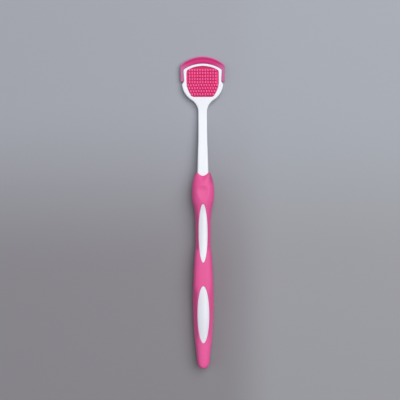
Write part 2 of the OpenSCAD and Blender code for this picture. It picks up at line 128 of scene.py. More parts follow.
@dataclass(frozen=True)
class Curve:
    """A smooth curve through rows of place and value, which never overshoots a row."""

    rows: Sequence[Point]

    @classmethod
    def stepping(cls, shares: Sequence[Point], sizes: Sequence[float]) -> "Curve":
        """Makes a curve that steps through a list of sizes.

        Args:
            shares: Rows of place and step, where step 1.5 is halfway from the second size on.
            sizes: The sizes that the steps count through.

        Returns:
            The curve of sizes over places.
        """
        rows = []
        for place, step in shares:
            i = min(int(step), len(sizes) - 2)
            rows.append((place, mix(sizes[i], sizes[i + 1], step - i)))
        return cls(rows)

    def secant(self, i: int) -> float:
        """Returns the straight slope from row i to the next."""
        (x0, v0), (x1, v1) = self.rows[i], self.rows[i + 1]
        return (v1 - v0) / (x1 - x0)

    def slope(self, i: int) -> float:
        """Returns the curve's slope at row i."""
        before, after = self.secant(max(i - 1, 0)), self.secant(min(i, len(self.rows) - 2))
        return 2.0 * before * after / (before + after) if before * after > 0 else 0.0

    def at(self, place: float) -> float:
        """Returns the curve's value at a place.

        Args:
            place: The place, which is held at the ends of the rows.

        Returns:
            The value there.
        """
        place = min(max(place, self.rows[0][0]), self.rows[-1][0])
        i = max(k for k in range(len(self.rows) - 1) if k == 0 or self.rows[k][0] <= place)
        (x0, v0), (x1, v1) = self.rows[i], self.rows[i + 1]
        share = (place - x0) / (x1 - x0)
        bend = self.slope(i) * (1.0 - share) - self.slope(i + 1) * share
        return mix(v0, v1, eased(share)) + bend * (x1 - x0) * share * (1.0 - share)


@dataclass(frozen=True)
class Outline:
    """The right-hand half of a flat outline, which climbs from the bottom to the top."""

    points: list[Point]

    def normals(self) -> list[Point]:
        """Returns the outward directions.

        Returns:
            The direction at each point, long enough to keep an even offset.
        """
        sides = []
        for (x0, y0), (x1, y1) in zip(self.points, self.points[1:]):
            reach = math.hypot(x1 - x0, y1 - y0)
            sides.append(((y1 - y0) / reach, (x0 - x1) / reach))
        first = (1.0, 0.0) if abs(self.points[0][0]) > MERGE else (0.0, -1.0)
        last = (0.0, 1.0)
        result = []
        for (x0, y0), (x1, y1) in [(first, first), *zip(sides, sides[1:]), (last, last)]:
            scale = 1.0 + x0 * x1 + y0 * y1
            result.append(((x0 + x1) / scale, (y0 + y1) / scale))
        return result

    def grown(self, reach: float) -> "Outline":
        """Returns the outline moved outwards by reach."""
        pairs = zip(self.points, self.normals())
        return Outline([(p[0] + n[0] * reach, p[1] + n[1] * reach) for p, n in pairs])

    def resampled(self, steps: int) -> "Outline":
        """Returns the outline with new points.

        Args:
            steps: The number of even steps along its length.

        Returns:
            The outline with steps + 1 points.
        """
        lengths = [0.0]
        for a, b in zip(self.points, self.points[1:]):
            lengths.append(lengths[-1] + math.dist(a, b))
        result, i = [], 0
        for want in spread(0.0, lengths[-1], steps):
            while i < len(self.points) - 2 and lengths[i + 1] < want:
                i += 1
            share = (want - lengths[i]) / (lengths[i + 1] - lengths[i])
            result.append(between(self.points[i], self.points[i + 1], share))
        return Outline(result)


# The tool's sizes


class Side(Enum):
    """A side of the tool that lies on its back, with the direction in which it faces."""

    FRONT = 1
    BACK = -1


@dataclass(frozen=True)
class ToolSizes:
    """The named lengths of the whole tool."""

    grip: float = 119.3
    neck: float = 54.6
    rim_rise: float = 11.5
    lip_reach: float = 4.6

    @property
    def tail_y(self) -> float:
        """The place of the tail's end."""
        return -(self.grip + self.neck + self.rim_rise + self.lip_reach) / 2.0

    @property
    def mouth_y(self) -> float:
        """The place of the grip's mouth."""
        return self.tail_y + self.grip

    @property
    def disc_y(self) -> float:
        """The place of the middle of the head's disc."""
        return self.mouth_y + self.neck

    @property
    def rim_y(self) -> float:
        """The place of the rim's top."""
        return self.disc_y + self.rim_rise


TOOL = ToolSizes()


@dataclass(frozen=True)
class GripForm:
    """The grip's outer surface as a function of the place along it.

    The curves step through the sizes of the tail, the belly, the waist, the collar and the mouth.
    """

    tail_cap: float = 4.0
    tail_trim: float = 0.35
    tail_power: float = 2.5
    cap_power: float = 0.5
    widths: Curve = Curve.stepping(
        (
            (0, 0), (0.07, 0.28), (0.132, 0.56), (0.194, 0.77), (0.255, 0.9), (0.36, 1),
            (0.469, 1.19), (0.561, 1.52), (0.592, 1.73), (0.622, 1.95), (0.68, 2),
            (0.742, 2.05), (0.788, 2.22), (0.819, 2.43), (0.85, 2.83), (0.888, 3),
            (0.926, 3.09), (0.956, 3.37), (0.97, 3.55), (0.987, 3.85), (1, 4),
        ),
        (6.6, 12.5, 9.0, 13.65, 9.1),
    )
    thicknesses: Curve = Curve.stepping(
        (
            (0, 0), (0.132, 0.52), (0.255, 0.9), (0.36, 1), (0.469, 1.2), (0.561, 1.6), (0.68, 2),
            (0.788, 2.22), (0.85, 2.83), (0.888, 3), (0.926, 3.1), (0.954, 3.35), (0.979, 3.62),
            (0.992, 3.8), (1, 4),
        ),
        (6.4, 11.8, 9.4, 12.4, 4.0),
    )
    middles: Curve = Curve.stepping(
        ((0, 0), (0.2, 0.85), (0.36, 1), (0.68, 2), (0.888, 3), (1, 4)), (5.6, 5.9, 5.9, 6.2, 6.1)
    )
    belly_powers: Curve = Curve.stepping(
        ((0, 0), (0.1, 0), (0.2, 1), (0.33, 1), (0.43, 2), (1, 2)), (2.3, 2.0, 3.0)
    )
    waist_powers: Curve = Curve.stepping(
        ((0, 0), (0.7, 0), (0.86, 1), (0.95, 1), (0.985, 2), (1, 2)), (2.2, 2.2, 3.0)
    )
    swell: Curve = Curve((
        (0, 1), (0.578, 1), (0.595, 0.97), (0.618, 0.87),
        (0.632, 0.76), (0.648, 0.58), (0.676, 0), (1, 0),
    ))
    flanks: Curve = Curve((
        (0, 0), (0.12, 0), (0.19, 1), (0.34, 1), (0.43, 0),
        (0.592, 0), (0.62, 1), (0.74, 1), (0.84, 0), (1, 0),
    ))
    flank_foot: float = 0.1
    flank_rise: float = 1.9
    flank_ease: float = 0.06
    crease_ease: float = 0.12
    dish_place: float = 0.908
    dish_r: float = 8.5
    dish_depth: float = 0.85
    dish_lean: float = 7.0
    dish_flat: float = 0.6
    dish_ease: float = 0.32
    dip_length: float = 2.4
    dip_r: float = 5.0
    dip_lean: float = 35.0
    dip_top: float = 8.7
    dip_ease: float = 0.12

    def place(self, y: float) -> float:
        """Returns the share of the grip's length at y."""
        return (y - TOOL.tail_y) / TOOL.grip

    @property
    def tail_end(self) -> float:
        """The place of the skin's lower end."""
        return TOOL.tail_y + self.tail_trim

    def fullness(self, y: float) -> float:
        """Returns how full the section is in the round end of the tail."""
        return bulge(1.0 - held((y - self.tail_end) / self.tail_cap), self.tail_power)

    def half_width(self, y: float) -> float:
        """Returns half of the grip's width at y."""
        return self.widths.at(self.place(y)) / 2.0 * self.fullness(y)

    def half_thickness(self, y: float) -> float:
        """Returns half of the grip's thickness at y."""
        return self.thicknesses.at(self.place(y)) / 2.0 * self.fullness(y) ** self.cap_power

    def middle(self, y: float) -> float:
        """Returns the height of the section's middle at y."""
        return self.middles.at(self.place(y))

    def section(self, across: float, y: float) -> float:
        """Returns the section's height over its middle.

        Args:
            across: The share of the half width.
            y: The place along the tool.

        Returns:
            The share of the half thickness: the greater one of the waist's form and the belly's,
            with straight flanks beside the lands.
        """
        place = self.place(y)
        swell = self.swell.at(place)
        waist = bulge(across, self.waist_powers.at(place))
        belly = swell * bulge(across, self.belly_powers.at(place))
        full = -lesser(-waist, -belly, self.crease_ease * swell * (1.0 - swell))
        straight = self.flank_foot + self.flank_rise * (1.0 - across)
        return mix(full, max(0.0, lesser(full, straight, self.flank_ease)), self.flanks.at(place))

    def hollow(self, x: float, y: float) -> float:
        """Returns the height of the thumb dish's floor.

        Args:
            x: The distance from the middle line.
            y: The place along the tool.

        Returns:
            The lowest height of a leaning trough with a round nose towards the head.
        """
        nose_y = mix(TOOL.tail_y, TOOL.mouth_y, self.dish_place)
        axis_z = self.middle(nose_y) + self.half_thickness(nose_y) - self.dish_depth + self.dish_r
        reach = self.dish_r ** 2 - (self.dish_flat * x) ** 2
        along = y - nose_y
        if reach <= max(0.0, along) ** 2:
            return axis_z
        lean, fall = math.radians(self.dish_lean), math.sqrt(reach)
        ahead = (along + fall * math.sin(lean)) / math.cos(lean)
        if ahead > 0:
            return axis_z - math.sqrt(reach - along ** 2)
        return axis_z - ahead * math.sin(lean) - fall * math.cos(lean)

    def dip(self, x: float, y: float) -> float:
        """Returns the height of the leaning hollow in which the collar ends over the neck.

        Args:
            x: The distance from the middle line.
            y: The place along the tool.

        Returns:
            The height of the hollow's floor.
        """
        lean = math.radians(self.dip_lean)
        rise = self.dip_r - math.sqrt(max(0.0, self.dip_r ** 2 - x ** 2))
        return self.dip_top + (rise - (y - TOOL.mouth_y + self.dip_length) * math.sin(lean)) / math.cos(lean)

    def height(self, x: float, y: float, side: Side) -> float:
        """Returns the surface's height over a point of the plan.

        Args:
            x: The distance from the middle line.
            y: The place along the tool.
            side: The side of the tool.

        Returns:
            The height, with the thumb dish and the mouth's hollow taken out of the front.
        """
        half = self.half_width(y)
        across = min(1.0, abs(x) / half) if half > 0 else 1.0
        z = self.middle(y) + side.value * self.half_thickness(y) * self.section(across, y)
        if side is Side.BACK:
            return z
        return lesser(lesser(z, self.dip(x, y), self.dip_ease), self.hollow(x, y), self.dish_ease)


@dataclass(frozen=True)
class Land:
    """An oval of the core that shows on the front and the back of the grip."""

    middle_y: float
    half_length: float
    half_width: float

    def half(self, y: float, grown: float = 0.0) -> float:
        """Returns half of the oval's width at y, with the oval grown by a margin."""
        share = (y - self.middle_y) / (self.half_length + grown)
        return (self.half_width + grown) * math.sqrt(max(0.0, 1.0 - share ** 2))

    def beyond(self, y: float) -> float:
        """Returns how far y lies past the oval's nearer tip, or a value below 0 inside."""
        return abs(y - self.middle_y) - self.half_length


@dataclass(frozen=True)
class HeadForm:
    """The outlines of the head, and the levels of the frame and neck."""

    disc_r: float = 12.65
    frame_t: float = 3.6
    shoulder_w: float = 1.3
    shoulder_rise: float = 0.8
    shoulder_drop: float = 1.9
    rim_flare: float = 0.4
    rim_top_r: float = 20.2
    rim_corner_r: float = 1.2
    side_wall: float = 1.95
    top_wall: float = 1.5
    foot_wall: float = 3.85
    window_side_rise: float = 0.8
    window_side_r: float = 14.5
    window_top_corner_r: float = 1.9
    window_foot_corner_r: float = 2.0
    lip_side_w: float = 1.95
    lip_end_w: float = 2.15
    lip_end_drop: float = 0.3
    lip_top_r: float = 19.6
    lip_corner_r: float = 2.0
    fillet_r: float = 8.8
    neck_w: float = 5.4
    neck_root_y: float = 15.0
    mouth_w: float = 6.7
    mouth_t: float = 5.2
    mouth_z: float = 6.1
    levelling: tuple[Point, ...] = ((0, 0), (0.72, 1), (1, 1))
    widths: Curve = Curve.stepping(
        ((0, 0), (0.13, 0.28), (0.26, 0.6), (0.36, 0.88), (0.53, 1), (1, 1)), (mouth_w, neck_w)
    )
    middles: Curve = Curve.stepping(((0, 0), (0.45, 0.68), (0.72, 1), (1, 1)), (mouth_z, frame_t / 2.0))
    thicknesses: Curve = Curve.stepping(levelling, (mouth_t, frame_t))
    roundings: Curve = Curve.stepping(levelling, (0.9, 0.48))
    back_roundings: Curve = Curve.stepping(levelling, (1.4, 0.7))
    side_steps: int = 10
    corner_steps: int = 8
    arch_steps: int = 22
    foot_steps: int = 8
    foot_corner_steps: int = 6
    bow_steps: int = 20
    neck_steps: int = 46
    fillet_steps: int = 14
    disc_steps: int = 26

    @property
    def rim_foot_x(self) -> float:
        """The rim's half width at the shoulders."""
        return self.disc_r - self.shoulder_w

    @property
    def rim_side_x(self) -> float:
        """The rim's half width at its upper corners."""
        return self.rim_foot_x + self.rim_flare

    @property
    def shoulder_y(self) -> float:
        """The place of the shoulders' inner ends."""
        return TOOL.disc_y + self.shoulder_rise

    @property
    def window_x(self) -> float:
        """The window's half width where it is widest."""
        return self.rim_side_x - self.side_wall

    @property
    def bow(self) -> Point:
        """The middle of the arc in which the window's side bows out."""
        return (self.window_x - self.window_side_r, TOOL.disc_y + self.window_side_rise)

    @property
    def foot_y(self) -> float:
        """The place of the window's foot."""
        return TOOL.disc_y - self.disc_r + self.foot_wall

    def of_neck(self, curve: Curve, y: float) -> float:
        """Returns the value of one of the neck's curves at y."""
        return curve.at((y - TOOL.mouth_y) / TOOL.neck)

    def crown(
        self, foot_x: float, side_x: float, base_y: float, top_y: float, top_r: float, corner_r: float
    ) -> list[Point]:
        """Returns a straight side, a round corner and an arched top.

        Args:
            foot_x: The half width at the foot of the side.
            side_x: The half width at the corner.
            base_y: The foot of the side.
            top_y: The top of the arch.
            top_r: The arch's radius.
            corner_r: The corner's radius.

        Returns:
            The points from the foot up to the top, on the middle line.
        """
        centre, corner_x = (0.0, top_y - top_r), side_x - corner_r
        corner = (corner_x, centre[1] + math.sqrt((top_r - corner_r) ** 2 - corner_x ** 2))
        turn = math.degrees(math.atan2(corner[1] - centre[1], corner_x))
        ends = ((foot_x, base_y), (side_x, corner[1]))
        side = [between(*ends, k / self.side_steps) for k in range(self.side_steps)]
        top = arc(centre, top_r, turn, 90.0, self.arch_steps)[1:-1]
        return side + arc(corner, corner_r, 0.0, turn, self.corner_steps) + top + [(0.0, top_y)]

    def rim(self) -> Outline:
        """Returns the rim from the shoulder to its top."""
        ends = (self.rim_foot_x, self.rim_side_x, self.shoulder_y, TOOL.rim_y)
        return Outline(self.crown(*ends, self.rim_top_r, self.rim_corner_r))

    def lip(self) -> Outline:
        """Returns the lip's outer outline from its end to its top, with the rim's point count."""
        return Outline(self.crown(
            self.rim_foot_x + self.lip_end_w, self.rim_side_x + self.lip_side_w,
            self.shoulder_y - self.lip_end_drop, TOOL.rim_y + TOOL.lip_reach,
            self.lip_top_r, self.lip_corner_r,
        ))

    def window(self) -> Outline:
        """Returns the window from its foot to its top.

        Returns:
            The level foot, its round corner, the bowed side and the arched top.
        """
        corner_r = self.window_foot_corner_r
        drop = self.foot_y + corner_r - self.bow[1]
        reach = math.sqrt((self.window_side_r - corner_r) ** 2 - drop ** 2)
        corner = (self.bow[0] + reach, self.bow[1] + drop)
        turn = math.degrees(math.atan2(drop, reach))
        foot = [(corner[0] * k / self.foot_steps, self.foot_y) for k in range(self.foot_steps)]
        foot += arc(corner, corner_r, -90.0, turn, self.foot_corner_steps)
        side = arc(self.bow, self.window_side_r, turn, 0.0, self.bow_steps)[1:-1]
        top = self.crown(
            self.window_x, self.window_x, self.bow[1], TOOL.rim_y - self.top_wall,
            self.rim_top_r - self.top_wall, self.window_top_corner_r,
        )
        return Outline(foot + side + top)

    def lower(self) -> list[Point]:
        """Returns the outline from the neck's root to the shoulder.

        Returns:
            The points along the neck, the fillet and the disc.
        """
        fillet_x = self.neck_w / 2.0 + self.fillet_r
        drop = math.sqrt((self.disc_r + self.fillet_r) ** 2 - fillet_x ** 2)
        turn = math.degrees(math.atan2(drop, -fillet_x))
        stations = spread(self.neck_root_y, TOOL.disc_y - drop, self.neck_steps)
        neck = [(self.of_neck(self.widths, y) / 2.0, y) for y in stations[:-1]]
        fillet = arc((fillet_x, stations[-1]), self.fillet_r, 180.0, turn, self.fillet_steps)
        end = math.degrees(math.asin((self.shoulder_rise - self.shoulder_drop) / self.disc_r))
        disc = arc((0.0, TOOL.disc_y), self.disc_r, turn - 180.0, end, self.disc_steps)
        return neck + fillet + disc[1:]

    def fits_nub(self, x: float, y: float, margin: float) -> bool:
        """Returns whether a nub has room in the window.

        Args:
            x: Its distance from the middle line.
            y: Its place along the tool.
            margin: The distance that it keeps from the window's wall.

        Returns:
            True where it fits.
        """
        spot = (abs(x), y)
        return (
            (y >= self.bow[1] or math.dist(spot, self.bow) <= self.window_side_r - margin)
            and y >= self.foot_y + margin
            and spot[0] <= self.window_x - margin
            and math.dist(spot, (0.0, TOOL.rim_y - self.rim_top_r)) <= self.rim_top_r - self.top_wall - margin
        )


GRIP = GripForm()
HEAD = HeadForm()
LANDS = {
    "waist": Land(mix(TOOL.tail_y, TOOL.mouth_y, 0.69), 17.6, 2.75),
    "belly": Land(mix(TOOL.tail_y, TOOL.mouth_y, 0.281), 17.2, 3.55),
}


# Meshes


def tidy(bm: BMesh) -> BMesh:
    """Merges coinciding points and turns every face outwards.

    Args:
        bm: The mesh, which is changed.

    Returns:
        The same mesh.
    """
    bmesh.ops.remove_doubles(bm, verts=bm.verts, dist=MERGE)
    bmesh.ops.dissolve_degenerate(bm, edges=bm.edges, dist=MERGE)
    bmesh.ops.delete(bm, geom=[v for v in bm.verts if not v.link_faces], context="VERTS")
    bmesh.ops.recalc_face_normals(bm, faces=bm.faces)
    return bm


def sheet(
    rows: int,
    columns: int,
    place: Callable[[int, int], Vector],
    keep: Callable[[int, int], bool] = lambda i, j: True,
) -> BMesh:
    """Shapes a grid into a curved sheet.

    Args:
        rows: The number of steps along the form.
        columns: The number of steps round the form.
        place: Gives the point of row i and column j, in millimetres.
        keep: Tells whether the cell from row i and column j on is kept.

    Returns:
        The sheet, with its coinciding points merged.
    """
    bm = bmesh.new()
    bmesh.ops.create_grid(bm, x_segments=columns, y_segments=rows, size=0.5)
    gone = []
    for face in bm.faces:
        middle = face.calc_center_median()
        if not keep(int((middle.y + 0.5) * rows), int((middle.x + 0.5) * columns)):
            gone.append(face)
    for vert in bm.verts:
        row, column = (vert.co.y + 0.5) * rows, (vert.co.x + 0.5) * columns
        vert.co = place(round(row), round(column)) * MM
    bmesh.ops.delete(bm, geom=gone, context="FACES")
    return tidy(bm)


def mirrored(bm: BMesh) -> BMesh:
    """Adds the left-hand half of a right-hand mesh, and joins the two on the middle line."""
    bmesh.ops.mirror(bm, geom=bm.verts[:] + bm.edges[:] + bm.faces[:], axis="X", merge_dist=MERGE)
    return tidy(bm)


def rims(bm: BMesh) -> list[BMEdge]:
    """Returns the open edges of a mesh."""
    return [edge for edge in bm.edges if edge.is_boundary]


def capped(bm: BMesh, edges: list[BMEdge] | None = None) -> BMesh:
    """Closes some rings of open edges, or all of them, with flat faces."""
    bmesh.ops.holes_fill(bm, edges=edges or rims(bm), sides=0)
    return tidy(bm)


def extruded(bm: BMesh, edges: list[BMEdge]) -> tuple[list[BMVert], list[BMEdge]]:
    """Extrudes a ring of edges in place, and returns the new ring's points and edges."""
    geom = bmesh.ops.extrude_edge_only(bm, edges=edges)["geom"]
    return [g for g in geom if isinstance(g, BMVert)], [g for g in geom if isinstance(g, BMEdge)]


def softened(bm: BMesh, edges: list[BMEdge], width: float) -> BMesh:
    """Rounds edges of a mesh over a width in millimetres."""
    bmesh.ops.bevel(
        bm, geom=edges, offset=width * MM, offset_type="OFFSET", segments=3,
        profile=0.5, affect="EDGES", material=-1, clamp_overlap=True,
    )
    return tidy(bm)


def poured(target: BMesh, source: BMesh, move: Vector = Vector()) -> None:
    """Adds a copy of one mesh to another.

    Args:
        target: The mesh that is added to.
        source: The mesh that is copied.
        move: How far the copy is moved, in millimetres.
    """
    scratch = bpy.data.meshes.new("scratch")
    source.to_mesh(scratch)
    scratch.transform(Matrix.Translation(move * MM))
    target.from_mesh(scratch)
    bpy.data.meshes.remove(scratch)


def linked(name: str, data: bpy.types.ID) -> bpy.types.Object:
    """Makes an object of the scene.

    Args:
        name: Its name.
        data: Its mesh, lamp or camera.

    Returns:
        The object, at the origin.
    """
    piece = bpy.data.objects.new(name, data)
    bpy.context.scene.collection.objects.link(piece)
    return piece


def finished(name: str, bm: BMesh, smooth: bool = True) -> bpy.types.Object:
    """Turns a bmesh into an object of the scene.

    Args:
        name: The piece's name.
        bm: Its mesh, which is freed.
        smooth: Whether its faces are shaded smoothly.

    Returns:
        The new object, at the origin.
    """
    mesh = bpy.data.meshes.new(name)
    for face in bm.faces:
        face.smooth = smooth
    for edge in bm.edges:
        edge.smooth = edge.calc_face_angle(0.0) < CORNER
    bm.to_mesh(mesh)
    bm.free()
    return linked(name, mesh)


# Finishes


def shade(*levels: int) -> Colour:
    """Returns a screen colour, with its red, green and blue from 0 to 255, as a linear colour."""
    parts = [v / 12.92 if v <= 0.04045 else ((v + 0.055) / 1.055) ** 2.4 for v in (n / 255.0 for n in levels)]
    return (*parts, 1.0)


def worked(operation: str, swapped: bool = False) -> Callable[["Wire", "Wire | float"], "Wire"]:
    """Returns the method for one of Python's operators.

    Args:
        operation: The Math node's operation.
        swapped: Whether the other value comes first.

    Returns:
        A method of a wire and the other value.
    """

    def method(wire: "Wire", other: "Wire | float") -> "Wire":
        """Adds the Math node and returns its result."""
        values = (other, wire) if swapped else (wire, other)
        return wire.bench.node("ShaderNodeMath", {"operation": operation}, dict(enumerate(values)))

    return method


class Wire:
    """A socket that Python's operators work on by adding Math nodes."""

    __add__, __radd__ = worked("ADD"), worked("ADD", True)
    __sub__, __rsub__ = worked("SUBTRACT"), worked("SUBTRACT", True)
    __mul__, __rmul__ = worked("MULTIPLY"), worked("MULTIPLY", True)

    def __init__(self, bench: "Bench", socket: bpy.types.NodeSocket) -> None:
        """Wraps a socket of a bench's tree."""
        self.bench = bench
        self.socket = socket


class Bench:
    """The node tree of one material, and the one method that adds its nodes."""

    def __init__(self, name: str) -> None:
        """Makes an empty material.

        Args:
            name: Its name.
        """
        self.material = bpy.data.materials.new(name)
        self.material.use_nodes = True
        self.tree = self.material.node_tree
        self.tree.nodes.clear()

    def node(
        self,
        kind: str,
        settings: Mapping[str, Any],
        inputs: Mapping[int | str, Any],
        output: int | str = 0,
    ) -> Wire:
        """Adds a node.

        Args:
            kind: The node's type.
            settings: Its properties.
            inputs: The values or wires of its sockets, where None leaves a socket as it is.
            output: The socket that is returned.

        Returns:
            The wire from that socket.
        """
        node = self.tree.nodes.new(kind)
        for key, value in settings.items():
            setattr(node, key, value)
        for key, value in inputs.items():
            if isinstance(value, Wire):
                self.tree.links.new(value.socket, node.inputs[key])
            elif value is not None:
                node.inputs[key].default_value = value
        return Wire(self, node.outputs[output])

    def place(self) -> Wire:
        """Returns the piece's own coordinates, in metres."""
        return self.node("ShaderNodeTexCoord", {}, {}, "Object")

    def axis(self, name: str) -> Wire:
        """Returns one of the piece's own coordinates, in metres."""
        return self.node("ShaderNodeSeparateXYZ", {}, {0: self.place()}, name)

    def ramp(self, value: Wire, low: float, high: float) -> Wire:
        """Returns a smooth rise from 0 at low to 1 at high, where low may be the greater one."""
        ends = {"Value": value, "From Min": low, "From Max": high}
        return self.node("ShaderNodeMapRange", {"interpolation_type": "SMOOTHSTEP"}, ends)

    def climb(self, name: str, low: float, high: float) -> Wire:
        """Returns a ramp along an axis between two places in millimetres."""
        return self.ramp(self.axis(name), low * MM, high * MM)

    def away(self, place: Wire, low: float, high: float) -> Wire:
        """Returns a ramp along the distance from 0, between two distances in millimetres."""
        return self.ramp(place * place, (low * MM) ** 2, (high * MM) ** 2)

    def noise(self, size: float, detail: float = 2.0) -> Wire:
        """Returns noise whose features are about size millimetres across."""
        values = {"Vector": self.place(), "Scale": 1.0 / (size * MM), "Detail": detail, "Roughness": 0.55}
        return self.node("ShaderNodeTexNoise", {}, values, "Fac")

    def blend(self, share: Wire, first: Wire | Colour, second: Wire | Colour) -> Wire:
        """Returns the colour that lies share of the way from the first to the second."""
        settings = {"data_type": "RGBA", "clamp_factor": True}
        return self.node("ShaderNodeMix", settings, {0: share, 6: first, 7: second}, 2)

    def layered(self, base: Wire | Colour, *layers: tuple[Wire, Wire | Colour]) -> Wire:
        """Returns a colour with layers of others over it.

        Args:
            base: The lowest colour.
            layers: Rows of how far a layer covers what is under it, and its colour.

        Returns:
            The colour on top.
        """
        for share, colour in layers:
            base = self.blend(share, base, colour)
        return base

    def bump(self, height: Wire, strength: float, depth: float, under: Wire | None = None) -> Wire:
        """Returns a normal raised by a height, at most depth millimetres, on the one under it."""
        values = {"Height": height, "Strength": strength, "Distance": depth * MM, "Normal": under}
        return self.node("ShaderNodeBump", {}, values)

    def close(self, inputs: Mapping[str, Any]) -> bpy.types.Material:
        """Ends the tree in one Principled shader.

        Args:
            inputs: The values or wires of the shader's sockets.

        Returns:
            The material.
        """
        skin = self.node("ShaderNodeBsdfPrincipled", {}, inputs)
        out = self.tree.nodes.new("ShaderNodeOutputMaterial")
        self.tree.links.new(skin.socket, out.inputs["Surface"])
        return self.material


@dataclass(frozen=True)
class Relief:
    """A fine relief of a skin, with its features' size and its depth in millimetres."""

    size: float
    strength: float
    depth: float
    detail: float = 2.0


@dataclass(frozen=True)
class Depth:
    """How much light goes into a milky body, how far in each colour, and the scale of that in metres."""

    weight: float = 0.0
    radius: Triple = (1.0, 0.2, 0.1)
    scale: float = 0.0012


@dataclass(frozen=True)
class Finish:
    """What the finishes share: a gloss that varies a little, over a colour of their own.

    Roughness is its least value, its span, and the size and detail of its noise. A coat and a
    sheen are a weight and a roughness.
    """

    name: str
    roughness: Colour
    specular: float
    relief: tuple[Relief, ...] = ()
    coat: Point = (0.0, 0.03)
    sheen: Point = (0.0, 0.5)
    depth: Depth = Depth()

    def colour(self, bench: Bench) -> Wire:
        """Returns the colour, which each finish gives for itself."""
        raise NotImplementedError

    def normal(self, bench: Bench) -> Wire | None:
        """Returns the relief.

        Args:
            bench: The material's bench.

        Returns:
            The normal, with each layer of the relief raised on the one before it.
        """
        skin = None
        for layer in self.relief:
            skin = bench.bump(bench.noise(layer.size, layer.detail), layer.strength, layer.depth, skin)
        return skin

    def material(self) -> bpy.types.Material:
        """Returns the finish as a material.

        Returns:
            The material, with a Principled shader.
        """
        bench = Bench(self.name)
        least, span, size, detail = self.roughness
        return bench.close({
            "Base Color": self.colour(bench),
            "Roughness": least + span * bench.noise(size, detail) if span else least,
            "Specular IOR Level": self.specular,
            "Coat Weight": self.coat[0],
            "Coat Roughness": self.coat[1],
            "Sheen Weight": self.sheen[0],
            "Sheen Roughness": self.sheen[1],
            "Subsurface Weight": self.depth.weight,
            "Subsurface Radius": self.depth.radius,
            "Subsurface Scale": self.depth.scale,
            "Normal": self.normal(bench),
        })


@dataclass(frozen=True)
class GlossWhite(Finish):
    """The rigid core: smooth white plastic off a polished mould."""

    name: str = "gloss_white_plastic"
    roughness: Colour = (0.24, 0.14, 2.2, 4.0)
    specular: float = 0.5
    relief: tuple[Relief, ...] = (Relief(0.9, 0.1, 0.04), Relief(0.16, 0.12, 0.01))
    coat: Point = (0.12, 0.12)
    depth: Depth = Depth(0.08, (0.9, 0.9, 1.0))
    base: Colour = shade(236, 239, 246)
    cool: Colour = shade(229, 232, 243)
    cloud_size: float = 14.0

    def colour(self, bench: Bench) -> Wire:
        """Returns the white with its cool clouds."""
        return bench.blend(bench.noise(self.cloud_size, 3.0), self.base, self.cool)


@dataclass(frozen=True)
class LipSilicone(Finish):
    """The lip: magenta silicone that gets paler where it is thin, with painted shade at its root by the rim
    and in a band on its outer slope.

    The spans of thick, bend and thin are shares of the blade's reach, which an attribute gives,
    and the side's is over the disc's middle.
    """

    name: str = "lip_silicone"
    roughness: Colour = (0.46, 0.12, 0.8, 3.0)
    specular: float = 0.22
    relief: tuple[Relief, ...] = (Relief(1.6, 0.12, 0.05), Relief(0.12, 0.2, 0.012, 3.0))
    coat: Point = (0.04, 0.3)
    depth: Depth = Depth(0.22, (1.0, 0.28, 0.5), 0.0014)
    reach: str = "reach"
    # root: painted shade, darkest where the blade meets the rim
    root: Colour = shade(158, 36, 100)
    thick: Colour = shade(220, 34, 124)
    thick_span: Point = (0.04, 0.34)
    # bend: painted shade, a darker band on the blade's outer slope
    bend: Colour = shade(186, 14, 106)
    bend_shade_span: Point = (0.42, 0.6)
    thin: Colour = shade(206, 130, 176)
    thin_span: Point = (0.8, 0.94)
    side: Colour = shade(188, 114, 160)
    side_span: Point = (12.4, 8.0)
    side_share: float = 0.9
    haze: Colour = shade(228, 58, 142)
    haze_size: float = 5.0
    haze_share: float = 0.2

    def colour(self, bench: Bench) -> Wire:
        """Returns the magenta with painted shade at the root and the bend, paler at the blade's edge and down
        its sides.
        """
        reach = bench.node("ShaderNodeAttribute", {"attribute_name": self.reach}, {}, "Fac")
        # Root and bend are painted shade; thick, thin, side and haze are the silicone's own tones.
        return bench.layered(
            self.root,
            (bench.ramp(reach, *self.thick_span), self.thick),
            (bench.ramp(reach, *self.bend_shade_span), self.bend),
            (bench.ramp(reach, *self.thin_span), self.thin),
            (bench.climb("Y", *(TOOL.disc_y + rise for rise in self.side_span)) * self.side_share, self.side),
            (bench.noise(self.haze_size, 3.0) * self.haze_share, self.haze),
        )


@dataclass(frozen=True)
class PadSilicone(Finish):
    """The nubbed pad: deep pink silicone, brighter towards the tips of the nubs partly in its own tone and
    partly as painted light, with painted shade beside the rim at both ends of its front.

    The spans are distances from the disc's middle, shares of the floor's height, and shares of the
    way from the floor to the tips.
    """

    name: str = "pad_silicone"
    roughness: Colour = (0.46, 0.14, 0.6, 3.0)
    specular: float = 0.25
    relief: tuple[Relief, ...] = (Relief(0.1, 0.2, 0.01, 3.0),)
    coat: Point = (0.04, 0.3)
    depth: Depth = Depth(0.2, (1.0, 0.22, 0.42))
    floor_z: float = PAD_FACE_Z
    tip_z: float = PAD_FACE_Z + NUB_H
    deep: Colour = shade(231, 44, 124)
    # brighter up the nubs: partly the silicone's own tone, partly painted light on the tips
    tip_tone_and_light: Colour = shade(255, 108, 178)
    tip_tone_and_light_span: Point = (0.1, 0.7)
    # margin: painted shade beside the rim at the window's top and foot, on the pad's front only
    margin: Colour = shade(192, 26, 92)
    rim_shade_span: Point = (8.1, 8.7)
    floor_span: Point = (0.5, 0.9)

    def colour(self, bench: Bench) -> Wire:
        """Returns the pink, brighter up the nubs partly as painted light, with painted shade at the two ends
        of the pad's front.
        """
        front = bench.climb("Z", *(self.floor_z * share for share in self.floor_span))
        # The first layer is painted shade by the rim; the second is partly the tips' own tone and partly
        # painted light.
        return bench.layered(
            self.deep,
            (bench.away(bench.axis("Y") - TOOL.disc_y * MM, *self.rim_shade_span) * front, self.margin),
            (
                bench.climb("Z", *(mix(self.floor_z, self.tip_z, share) for share in self.tip_tone_and_light_span)),
                self.tip_tone_and_light,
            ),
        )


